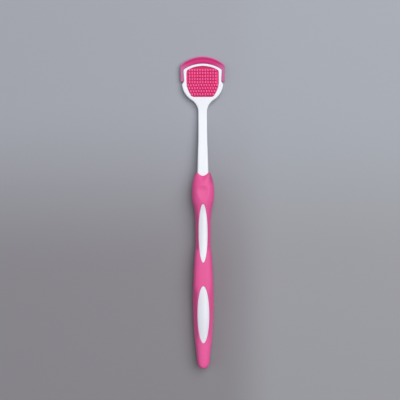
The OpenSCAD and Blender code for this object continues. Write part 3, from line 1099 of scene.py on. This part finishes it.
@dataclass(frozen=True)
class GripElastomer(Finish):
    """The grip: pink soft-touch elastomer with the fine grain of an eroded mould.

    The lighter pink at the tail is painted light and the deeper pink beside the mouth is painted shade. The
    mouth's spans are distances from the middle line and back from the mouth.
    """

    name: str = "grip_elastomer"
    roughness: Colour = (0.44, 0.14, 1.4, 4.0)
    specular: float = 0.35
    relief: tuple[Relief, ...] = (Relief(2.4, 0.1, 0.06),)
    sheen: Point = (0.03, 0.4)
    depth: Depth = Depth(0.12, (1.0, 0.35, 0.55))
    base: Colour = shade(233, 92, 159)
    warm: Colour = shade(229, 84, 152)
    cloud_size: float = 9.0
    # tail: painted light, a lighter pink towards the tail's end
    tail: Colour = shade(240, 97, 165)
    tail_light_span: Point = (-50.0, -85.0)
    # mouth: painted shade on the collar beside the mouth
    mouth: Colour = shade(192, 78, 134)
    mouth_shade_sides: Point = (2.4, 4.6)
    mouth_shade_span: Point = (6.8, 1.2)
    mouth_shade_lean: float = 0.5
    stipple_size: float = 0.28
    stipple_share: float = 0.6
    grain: Relief = Relief(0.12, 0.3, 0.016, 3.0)

    def colour(self, bench: Bench) -> Wire:
        """Returns the pink, with painted light at the tail and painted shade beside the mouth.

        Args:
            bench: The material's bench.

        Returns:
            The colour.
        """
        across = bench.axis("X")
        shade_lean_y = bench.axis("Y") + across * self.mouth_shade_lean
        near = bench.ramp(shade_lean_y, *((TOOL.mouth_y - back) * MM for back in self.mouth_shade_span))
        # The cloud is the elastomer's own tone; the tail's layer is painted light and the mouth's is painted
        # shade.
        return bench.layered(
            self.base,
            (bench.noise(self.cloud_size, 4.0), self.warm),
            (bench.climb("Y", *self.tail_light_span), self.tail),
            (bench.away(across, *self.mouth_shade_sides) * near, self.mouth),
        )

    def normal(self, bench: Bench) -> Wire:
        """Returns the relief with the mould's stipple and grain on it.

        Args:
            bench: The material's bench.

        Returns:
            The normal.
        """
        values = {"Vector": bench.place(), "Scale": 1.0 / (self.stipple_size * MM), "Smoothness": 0.6}
        stipple = bench.node("ShaderNodeTexVoronoi", {"feature": "SMOOTH_F1"}, values, "Distance")
        grain = bench.noise(self.grain.size, self.grain.detail) * (1.0 - self.stipple_share)
        skin = stipple * self.stipple_share + grain
        return bench.bump(skin, self.grain.strength, self.grain.depth, super().normal(bench))


@dataclass(frozen=True)
class TableTop(Finish):
    """The plain grey table, with painted light: paler towards the far side and the right, where the key lamp
    stands.
    """

    name: str = "table_top"
    roughness: Colour = (0.62, 0.0, 0.0, 0.0)
    specular: float = 0.2
    far_left: Colour = shade(164, 167, 177)
    far_right: Colour = shade(166, 171, 180)
    near_left: Colour = shade(138, 136, 142)
    near_right: Colour = shade(156, 157, 163)
    far_span: Point = (-40.0, 70.0)
    right_span: Point = (11.0, 45.0)
    haze: Colour = shade(150, 151, 158)
    haze_size: float = 60.0
    haze_share: float = 0.1

    def colour(self, bench: Bench) -> Wire:
        """Returns the grey, blended between the table's four quarters as painted light."""
        # The quarters' greys are painted light, falling off away from the key lamp; the haze is the table's
        # own tone.
        right = bench.climb("X", *self.right_span)
        return bench.layered(
            bench.blend(right, self.near_left, self.near_right),
            (bench.climb("Y", *self.far_span), bench.blend(right, self.far_left, self.far_right)),
            (bench.noise(self.haze_size, 4.0) * self.haze_share, self.haze),
        )


# The tool's pieces


@dataclass
class Part:
    """The visible pieces that stand for one solid, in one finish, with one perhaps shaded flat."""

    finish: Finish
    slot: str
    node: str
    flat: str = ""

    def meshes(self) -> dict[str, BMesh]:
        """Returns the pieces' meshes by name, which each part gives for itself."""
        raise NotImplementedError

    def build(self) -> list[bpy.types.Object]:
        """Makes the part's pieces and dresses them.

        Returns:
            The pieces.
        """
        material = self.finish.material()
        pieces = [finished(name, bm, name != self.flat) for name, bm in self.meshes().items()]
        for piece in pieces:
            piece.data.materials.append(material)
            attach(piece, BODY)
            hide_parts(self.node)
        return pieces


@dataclass
class HandleCore(Part):
    """The rigid white moulding: frame, neck and the oval lands that show in the grip.

    The rungs are the numbers of the outline's points: the one beside the window's foot, and how
    many before it the inner points start to leave the middle line's own places.
    """

    finish: Finish = GlossWhite()
    slot: str = "core"
    node: str = "handle_core"
    window_edge_r: float = 0.28
    seat_d: float = 0.5
    ledge_z: float = 1.1
    foot_rung: int = 52
    closing_rungs: int = 14
    flat_steps: int = 4
    edge_steps: int = 6
    small_edge_steps: int = 3
    land_recess: float = 0.25
    land_depth: float = 1.6
    land_gap: float = 0.03
    land_edge_r: float = 0.12
    land_rows: int = 72
    land_columns: int = 16

    def inner(self, i: int, outer: Outline, ring: Outline) -> Point:
        """Returns the inner partner of a point of the frame's outline.

        Args:
            i: The point's number.
            outer: The frame's outline.
            ring: The window's edge.

        Returns:
            A point of the window's edge, or one of the middle line below it.
        """
        if i >= self.foot_rung:
            return ring.points[i - self.foot_rung]
        low, y, high = (outer.points[k][1] for k in (self.foot_rung - self.closing_rungs, i, self.foot_rung))
        return (0.0, mix(y, ring.points[0][1], eased((y - low) / (high - low))))

    def frame_mesh(self) -> BMesh:
        """Returns the frame of the head and the neck.

        Returns:
            One closed mesh: the skin from the window round the edge to the back, and the
            window's wall.
        """
        outer = Outline(HEAD.lower() + HEAD.rim().points)
        normals = outer.normals()
        rows = len(outer.points) - 1
        window = HEAD.window().resampled(rows - self.foot_rung)
        back = window.grown(self.seat_d)
        looks = {
            Side.FRONT: (HEAD.roundings, window.grown(self.window_edge_r)),
            Side.BACK: (HEAD.back_roundings, back),
        }
        half = [(k / self.flat_steps, 1.0, 0.0) for k in range(self.flat_steps)]
        half += [(1.0, inset, drop) for inset, drop in quarter(self.edge_steps)]
        profile = [(*step, Side.FRONT) for step in half] + [(*step, Side.BACK) for step in reversed(half)]

        def place(i: int, j: int) -> Vector:
            """Returns a point of the skin.

            Args:
                i: Its number along the outline.
                j: Its number along the profile.

            Returns:
                The point in space.
            """
            share, inset, drop, side = profile[j]
            roundings, ring = looks[side]
            (x, y), (n_x, n_y) = outer.points[i], normals[i]
            r = HEAD.of_neck(roundings, y)
            edge = (x - n_x * r * inset, y - n_y * r * inset)
            spot = between(self.inner(i, outer, ring), edge, share)
            level = HEAD.of_neck(HEAD.thicknesses, spot[1]) / 2.0 - r * drop
            return Vector((*spot, HEAD.of_neck(HEAD.middles, spot[1]) + side.value * level))

        bm = sheet(rows, len(profile) - 1, place)
        r = self.window_edge_r
        wall = [(window.grown(r * inset), HEAD.frame_t - r * drop)
                for inset, drop in quarter(self.small_edge_steps)]
        wall += [(window, self.ledge_z), (back, self.ledge_z), (back, 0.0)]

        def wall_place(i: int, j: int) -> Vector:
            """Returns a point of the window's wall."""
            ring, z = wall[j]
            return Vector((*ring.points[i], z))

        poured(bm, sheet(rows - self.foot_rung, len(wall) - 1, wall_place))
        return capped(mirrored(bm))

    def land_mesh(self, land: Land, side: Side) -> BMesh:
        """Returns one oval land, a domed plug that fills its window in the grip.

        Args:
            land: The oval.
            side: The side of the tool.

        Returns:
            The closed mesh.
        """
        r = self.land_edge_r
        levels = [(-self.land_gap - r * inset, self.land_recess + r * drop)
                  for inset, drop in quarter(self.small_edge_steps)]
        levels.append((-self.land_gap, self.land_depth))

        def under(across: float, along: float, grown: float, depth: float) -> Vector:
            """Returns a point under the grip's surface.

            Args:
                across: Its place across a disc of radius 1.
                along: Its place along that disc.
                grown: How much larger the oval is than the land.
                depth: How far it lies under the surface.

            Returns:
                The point in space.
            """
            x = (land.half_width + grown) * across
            y = land.middle_y + (land.half_length + grown) * along
            return Vector((x, y, GRIP.height(x, y, side) - side.value * depth))

        def dome(i: int, j: int) -> Vector:
            """Returns a point of the domed top."""
            turn = math.radians(mix(-90.0, 90.0, i / self.land_rows))
            return under(math.cos(turn) * mix(-1.0, 1.0, j / self.land_columns), math.sin(turn), *levels[0])

        bm = bmesh.new()
        made = bmesh.ops.create_circle(bm, cap_ends=False, segments=2 * self.land_rows, radius=1.0)
        rings, edges = [made["verts"]], bm.edges[:]
        for _ in levels[1:]:
            ring, edges = extruded(bm, edges)
            rings.append(ring)
        for ring, level in zip(rings, levels):
            for vert in ring:
                vert.co = under(vert.co.x, vert.co.y, *level) * MM
        capped(bm, edges)
        poured(bm, sheet(self.land_rows, self.land_columns, dome))
        return tidy(bm)

    def meshes(self) -> dict[str, BMesh]:
        """Returns the frame and the four lands.

        Returns:
            The meshes by name.
        """
        meshes = {"core_frame_and_neck": self.frame_mesh()}
        for label, land in LANDS.items():
            for side in Side:
                meshes[f"core_land_{label}_{side.name.lower()}"] = self.land_mesh(land, side)
        return meshes


@dataclass
class ScraperLip(Part):
    """The soft blade round the top and the sides of the head.

    The curves give the blade's underside, and its upper side from the root up to the crest and
    from the crest down to the edge, over the share of its reach.
    """

    finish: LipSilicone = LipSilicone()
    slot: str = "lip"
    node: str = "scraper_lip"
    root_wall: float = 0.85
    seat_d: float = 0.45
    crest_h: float = 0.3
    crest_at: float = 0.5
    edge_t: float = 0.9
    edge_rise: float = 1.3
    edge_turn: float = 70.0
    edge_steps: int = 6
    end_bevel: float = 0.22
    root_steps: int = 9
    root_end: float = 0.46
    skin_end: float = 0.98
    reach_span: Point = (-0.4, 1.2)
    under: Curve = Curve(((0.0, 0.0), (0.35, 0.2), (0.7, 0.65), (1.0, 1.08)))
    over: Curve = Curve(((0.0, 0.0), (0.16, 0.2), (0.34, 0.8), (0.5, 1.0)))
    fall: Curve = Curve(((0.5, 0.0), (0.64, 0.17), (0.8, 0.62), (1.0, 1.12)))

    def section(self, width: float) -> list[Point]:
        """Returns the blade's section as rows of reach share and height.

        Args:
            width: The blade's reach from the rim, in millimetres.

        Returns:
            The closed section, from the seat's lower edge round to its upper edge.
        """
        root_top = HEAD.frame_t - self.root_wall
        crest = root_top + self.crest_h * width / TOOL.lip_reach
        low = self.root_wall + self.edge_rise
        high = low + self.edge_t
        seat = -self.seat_d / width
        tip = 1.0 - self.edge_t * 0.5 / width
        rows = [(seat, self.root_wall)]
        for place in spread(0.0, self.skin_end * tip, self.root_steps):
            rows.append((place, mix(self.root_wall, low, self.under.at(place))))
        ends = (rows[-1][1], mix(crest, high, self.fall.at(tip)))
        for a in spread(-self.edge_turn, self.edge_turn, self.edge_steps):
            t = math.radians(a)
            rows.append((tip + (1.0 - tip) * math.cos(t), mix(*ends, 0.5 + 0.5 * math.sin(t))))
        for place in spread(self.skin_end * tip, self.crest_at * tip, self.edge_steps):
            rows.append((place, mix(crest, high, self.fall.at(place))))
        for place in spread(self.root_end, 0.0, self.root_steps):
            rows.append((place * tip, mix(root_top, crest, self.over.at(place))))
        return rows + [(seat, root_top)]

    def reach(self, spot: Point, pairs: Sequence[tuple[Point, Point]]) -> float:
        """Returns how far out on the blade a point lies.

        Args:
            spot: The point, on the right-hand side.
            pairs: The rim's points with their partners on the lip's edge.

        Returns:
            The share of the reach, from 0 at the rim to 1 at the edge.
        """
        best, near = 0.0, math.inf
        for a, b in pairs:
            along = (spot[0] - a[0]) * (b[0] - a[0]) + (spot[1] - a[1]) * (b[1] - a[1])
            share = along / math.dist(a, b) ** 2
            gap = math.dist(spot, between(a, b, share))
            if gap < near and self.reach_span[0] < share < self.reach_span[1]:
                near, best = gap, share
        return held(best)

    def meshes(self) -> dict[str, BMesh]:
        """Returns the whole blade.

        Returns:
            One closed mesh with softened ends, whose points know their reach.
        """
        pairs = list(zip(HEAD.rim().points, HEAD.lip().points))
        sections = [self.section(math.dist(*pair)) for pair in pairs]
        count = len(sections[0])

        def place(i: int, j: int) -> Vector:
            """Returns a point of the blade's skin."""
            share, z = sections[i][j % count]
            return Vector((*between(*pairs[i], share), z))

        bm = capped(mirrored(sheet(len(pairs) - 1, count, place)))
        ends = [edge for edge in bm.edges if any(len(face.verts) > 4 for face in edge.link_faces)]
        softened(bm, ends, self.end_bevel)
        layer = bm.verts.layers.float.new(self.finish.reach)
        for vert in bm.verts:
            vert[layer] = self.reach((abs(vert.co.x) / MM, vert.co.y / MM), pairs)
        return {"scraper_lip_blade": bm}


@dataclass
class NubPad(Part):
    """The soft pad in the head's window, with its rows of nubs.

    The flare is how much wider than its foot a nub is at two heights near its root.
    """

    finish: Finish = PadSilicone()
    slot: str = "pad"
    node: str = "nub_pad"
    flat: str = "nub_pad_base"
    face_z: float = PAD_FACE_Z
    face_root_z: float = 0.98
    back_z: float = 0.3
    flange_z: float = 1.08
    flange_grown: float = 0.47
    wall_gap: float = 0.02
    face_bevel: float = 0.16
    nub_h: float = NUB_H
    foot_r: float = 0.5
    neck_r: float = 0.46
    tip_h: float = 0.322
    tip_steps: int = 4
    flare: tuple[Point, ...] = ((0.1, -0.05), (0.03, 0.09))
    oval: float = 1.66
    pitch_x: float = 1.59
    pitch_y: float = 1.83
    margin: float = 0.72
    side_rows: int = 4
    nub_sides: int = 12

    def plate(self, outline: Outline, low: float, high: float) -> BMesh:
        """Returns a flat plate with a softened upper edge.

        Args:
            outline: Its right-hand half.
            low: The height of its back.
            high: The height of its front.

        Returns:
            The closed plate.
        """
        bm = bmesh.new()
        left = [(-x, y) for x, y in reversed(outline.points[1:-1])]
        corners = [bm.verts.new(Vector((x, y, low)) * MM) for x, y in outline.points + left]
        face = bmesh.ops.contextual_create(bm, geom=corners)["faces"][0]
        geom = bmesh.ops.extrude_face_region(bm, geom=[face])["geom"]
        front = {g for g in geom if isinstance(g, BMVert)}
        bmesh.ops.translate(bm, verts=list(front), vec=(0.0, 0.0, (high - low) * MM))
        return softened(bm, [e for e in bm.edges if front.issuperset(e.verts)], self.face_bevel)

    def nub_mesh(self) -> BMesh:
        """Returns one nub.

        Returns:
            A closed mesh, spun round its own axis and drawn out along the tool, with its foot on
            the origin.
        """
        shaft = self.nub_h - self.tip_h
        profile = [(self.foot_r + wider, z) for wider, z in self.flare]
        profile.append(((self.foot_r + self.neck_r) / 2.0, shaft / 2.0))
        for t in spread(0.0, math.pi / 2.0, self.tip_steps):
            profile.append((self.neck_r * math.cos(t), shaft + self.tip_h * math.sin(t)))
        bm = bmesh.new()
        verts = [bm.verts.new(Vector((r, 0.0, z)) * MM) for r, z in profile]
        edges = [bm.edges.new(pair) for pair in zip(verts, verts[1:])]
        bmesh.ops.spin(
            bm, geom=verts + edges, cent=(0.0, 0.0, 0.0), axis=(0.0, 0.0, 1.0),
            angle=math.tau, steps=self.nub_sides, use_merge=True, use_duplicate=False,
        )
        capped(tidy(bm))
        bmesh.ops.scale(bm, verts=bm.verts, vec=(1.0, self.oval, 1.0))
        return bm

    def field_mesh(self) -> BMesh:
        """Returns all nubs of the pad.

        Returns:
            One mesh, with every other row below the middle one shifted by half a pitch.
        """
        nub, bm, count = self.nub_mesh(), bmesh.new(), 0
        columns = math.ceil(HEAD.window_x / self.pitch_x)
        for j in range(-self.side_rows, self.side_rows + 1):
            shift = 0.5 if j < 0 and j % 2 else 0.0
            for i in range(-columns, columns + 1):
                x, y = (i + shift) * self.pitch_x, TOOL.disc_y + j * self.pitch_y
                if HEAD.fits_nub(x, y, self.margin):
                    poured(bm, nub, Vector((x, y, self.face_z)))
                    count += 1
        LOG.info("%d nubs", count)
        return bm

    def meshes(self) -> dict[str, BMesh]:
        """Returns the pad's base and its nubs.

        Returns:
            The meshes by name.
        """
        window = HEAD.window()
        base = self.plate(window.grown(-self.wall_gap), self.face_root_z, self.face_z)
        poured(base, self.plate(window.grown(self.flange_grown), self.back_z, self.flange_z))
        return {"nub_pad_base": base, "nub_pad_nubs": self.field_mesh()}


class Zone(Enum):
    """A stretch of the sleeve's section, from its widest place into the pocket of a land."""

    SIDE = "side"
    EDGE = "edge"
    FLOOR = "floor"


@dataclass
class GripSleeve(Part):
    """The soft sleeve with its collar, waist, belly and tail.

    The tip places are the distances from a land's tip at which the sleeve has close rings, and
    the mouth's roll is the scale and the step of each ring in which it turns in onto the neck.
    """

    finish: Finish = GripElastomer()
    slot: str = "grip"
    node: str = "grip_sleeve"
    spacing_power: float = 2.2
    window_edge_r: float = 0.3
    pocket_depth: float = 1.2
    mouth_back: float = 0.8
    mouth_roll: tuple[Point, ...] = ((0.95, 0.16), (0.86, 0.1), (0.6, 0.02))
    side_steps: int = 24
    length_steps: int = 280
    cap_steps: int = 12
    edge_steps: int = 4
    ring_gap: float = 0.12
    tip_places: tuple[float, ...] = (0.03, 0.1, 0.22, 0.4, 0.65, 1.0, 1.5, 2.1)
    floor_shares: Triple = (1.0, 0.5, 0.0)

    def stations(self) -> list[float]:
        """Returns the places along the grip at which the sleeve has a ring.

        Returns:
            The places, evenly spaced but closer at the tail's end and at the tips of the lands.
        """
        cap = [GRIP.tail_end + GRIP.tail_cap * drop for _, drop in quarter(self.cap_steps)]
        body = spread(cap[-1], TOOL.mouth_y - self.mouth_back, self.length_steps)[1:]
        marks = set()
        for land in LANDS.values():
            for end in (-1, 1):
                tip = land.middle_y + end * land.half_length
                marks.update(tip + end * self.window_edge_r * inset for inset, _ in quarter(self.edge_steps))
                marks.update(tip - end * inside for inside in self.tip_places)
        kept = [y for y in body if all(abs(y - mark) > self.ring_gap for mark in marks)]
        return sorted(set(cap + kept) | marks)

    def land_at(self, y: float) -> Land:
        """Returns the land whose oval lies nearest to y."""
        return min(LANDS.values(), key=lambda land: land.beyond(y))

    def rounding(self, gap: float) -> float:
        """Returns the depth of the window's rounded edge at a distance outside the oval."""
        share = 1.0 - held(gap / self.window_edge_r)
        return self.window_edge_r * (1.0 - math.sqrt(1.0 - share ** 2))

    def point(self, y: float, zone: Zone, value: float, side: Side) -> Vector:
        """Returns a point of the right-hand half of the sleeve.

        Args:
            y: The place along the tool.
            zone: The stretch of the section.
            value: The share of the way along the side, of the rounding's inset or of the floor.
            side: The side of the tool.

        Returns:
            The point in space.
        """
        land = self.land_at(y)
        if zone is Zone.SIDE:
            half = GRIP.half_width(y)
            share = min(1.0, land.half(y, self.window_edge_r) / half) if half > TINY else 0.0
            turn = value * math.acos(share ** (self.spacing_power / 2.0))
            x, depth = half * math.cos(turn) ** (2.0 / self.spacing_power), 0.0
        elif zone is Zone.EDGE:
            offset = self.window_edge_r * value
            x = land.half(y, offset)
            depth = self.rounding(offset if x > 0 else land.beyond(y))
        else:
            x = land.half(y) * value
            depth = self.pocket_depth if land.beyond(y) <= TINY else self.rounding(land.beyond(y))
        return Vector((x, y, GRIP.height(x, y, side) - side.value * depth))

    def meshes(self) -> dict[str, BMesh]:
        """Returns the sleeve.

        Returns:
            One closed mesh, with a pocket for each land.
        """
        stations = self.stations()
        half = [(Zone.SIDE, share) for share in spread(0.0, 1.0, self.side_steps)]
        half += [(Zone.EDGE, inset) for inset, _ in quarter(self.edge_steps)[1:]]
        half += [(Zone.FLOOR, share) for share in self.floor_shares]
        columns = [(*step, Side.BACK) for step in reversed(half)] + [(*step, Side.FRONT) for step in half[1:]]
        pocket = len(self.floor_shares)

        def place(i: int, j: int) -> Vector:
            """Returns a point of the sleeve's skin."""
            return self.point(stations[i], *columns[j])

        def keep(i: int, j: int) -> bool:
            """Tells whether a cell is no pocket's, or lies in one."""
            middle = (stations[i] + stations[i + 1]) / 2.0
            return pocket <= j < len(columns) - 1 - pocket or self.land_at(middle).beyond(middle) < 0.0

        bm = mirrored(sheet(len(stations) - 1, len(columns) - 1, place, keep))
        return {"grip_sleeve_skin": self.closed(bm)}

    def closed(self, bm: BMesh) -> BMesh:
        """Rolls the sleeve's open end in onto the neck and closes it.

        Args:
            bm: The sleeve's mesh, which is changed.

        Returns:
            The same mesh.
        """
        edges = rims(bm)
        middle_z = GRIP.middle(TOOL.mouth_y) * MM
        for scale, step in self.mouth_roll:
            verts, edges = extruded(bm, edges)
            for vert in verts:
                vert.co.x *= scale
                vert.co.y += step * MM
                vert.co.z = mix(middle_z, vert.co.z, scale)
        return capped(bm, edges)


# The table, the light and the camera


@dataclass(frozen=True)
class Lamp:
    """A soft square lamp, with its place and its side in metres and its power in watts."""

    name: str
    spot: Triple
    size: float
    power: float
    colour: Triple


@dataclass
class Studio:
    """The plain table, the soft light and the camera over the tool, in metres."""

    table_size: float = 4.0
    table_steps: int = 8
    room_colour: Colour = (0.9, 0.95, 1.0, 1.0)
    room_strength: float = 0.05
    aim: Triple = (0.0, 0.02, 0.0)
    lamps: tuple[Lamp, ...] = (
        Lamp("key", (0.55, 0.48, 1.45), 1.9, 34.8, (1.0, 0.99, 0.98)),
        Lamp("side", (-1.2, 0.2, 1.0), 1.2, 4.6, (0.96, 0.98, 1.0)),
    )
    sensor: float = 36.0
    camera_height: float = 0.45
    view_width: float = 0.2428
    view_level: float = 0.005
    centre: Point = (-0.0018, 0.0073)
    roll: float = -0.2

    def table(self) -> None:
        """Makes the table."""
        bm = bmesh.new()
        steps = self.table_steps
        bmesh.ops.create_grid(bm, x_segments=steps, y_segments=steps, size=self.table_size / 2.0)
        piece = finished("table", bm, smooth=False)
        piece.data.materials.append(TableTop().material())

    def room(self) -> None:
        """Makes the even light of the room."""
        world = bpy.data.worlds.new("room")
        world.use_nodes = True
        sky = world.node_tree.nodes["Background"]
        sky.inputs["Color"].default_value = self.room_colour
        sky.inputs["Strength"].default_value = self.room_strength
        bpy.context.scene.world = world

    def light(self, lamp: Lamp) -> None:
        """Adds a lamp that faces the tool.

        Args:
            lamp: The lamp.
        """
        data = bpy.data.lights.new(lamp.name, "AREA")
        data.shape, data.size = "SQUARE", lamp.size
        data.energy, data.color = lamp.power, lamp.colour
        piece = linked(lamp.name, data)
        piece.location = lamp.spot
        piece.rotation_euler = (Vector(self.aim) - piece.location).to_track_quat("-Z", "Y").to_euler()

    def camera(self) -> None:
        """Makes the camera, straight above the tool."""
        data = bpy.data.cameras.new("camera")
        data.sensor_width, data.sensor_fit = self.sensor, "HORIZONTAL"
        data.lens = self.sensor * (self.camera_height - self.view_level) / self.view_width
        piece = linked("camera", data)
        piece.location = (*self.centre, self.camera_height)
        piece.rotation_euler = (0.0, 0.0, math.radians(self.roll))
        bpy.context.scene.camera = piece

    def build(self) -> None:
        """Makes everything round the tool."""
        self.table()
        self.room()
        for lamp in self.lamps:
            self.light(lamp)
        self.camera()
        bpy.context.scene.view_settings.view_transform = "Standard"


def main() -> None:
    """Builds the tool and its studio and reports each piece."""
    logging.basicConfig(level=logging.INFO, format="%(name)s: %(message)s")
    Studio().build()
    for part in (HandleCore(), ScraperLip(), NubPad(), GripSleeve()):
        for piece in part.build():
            LOG.info("%s: %s, %d faces", type(part).__name__, piece.name, len(piece.data.polygons))


if __name__ == "__main__":
    main()
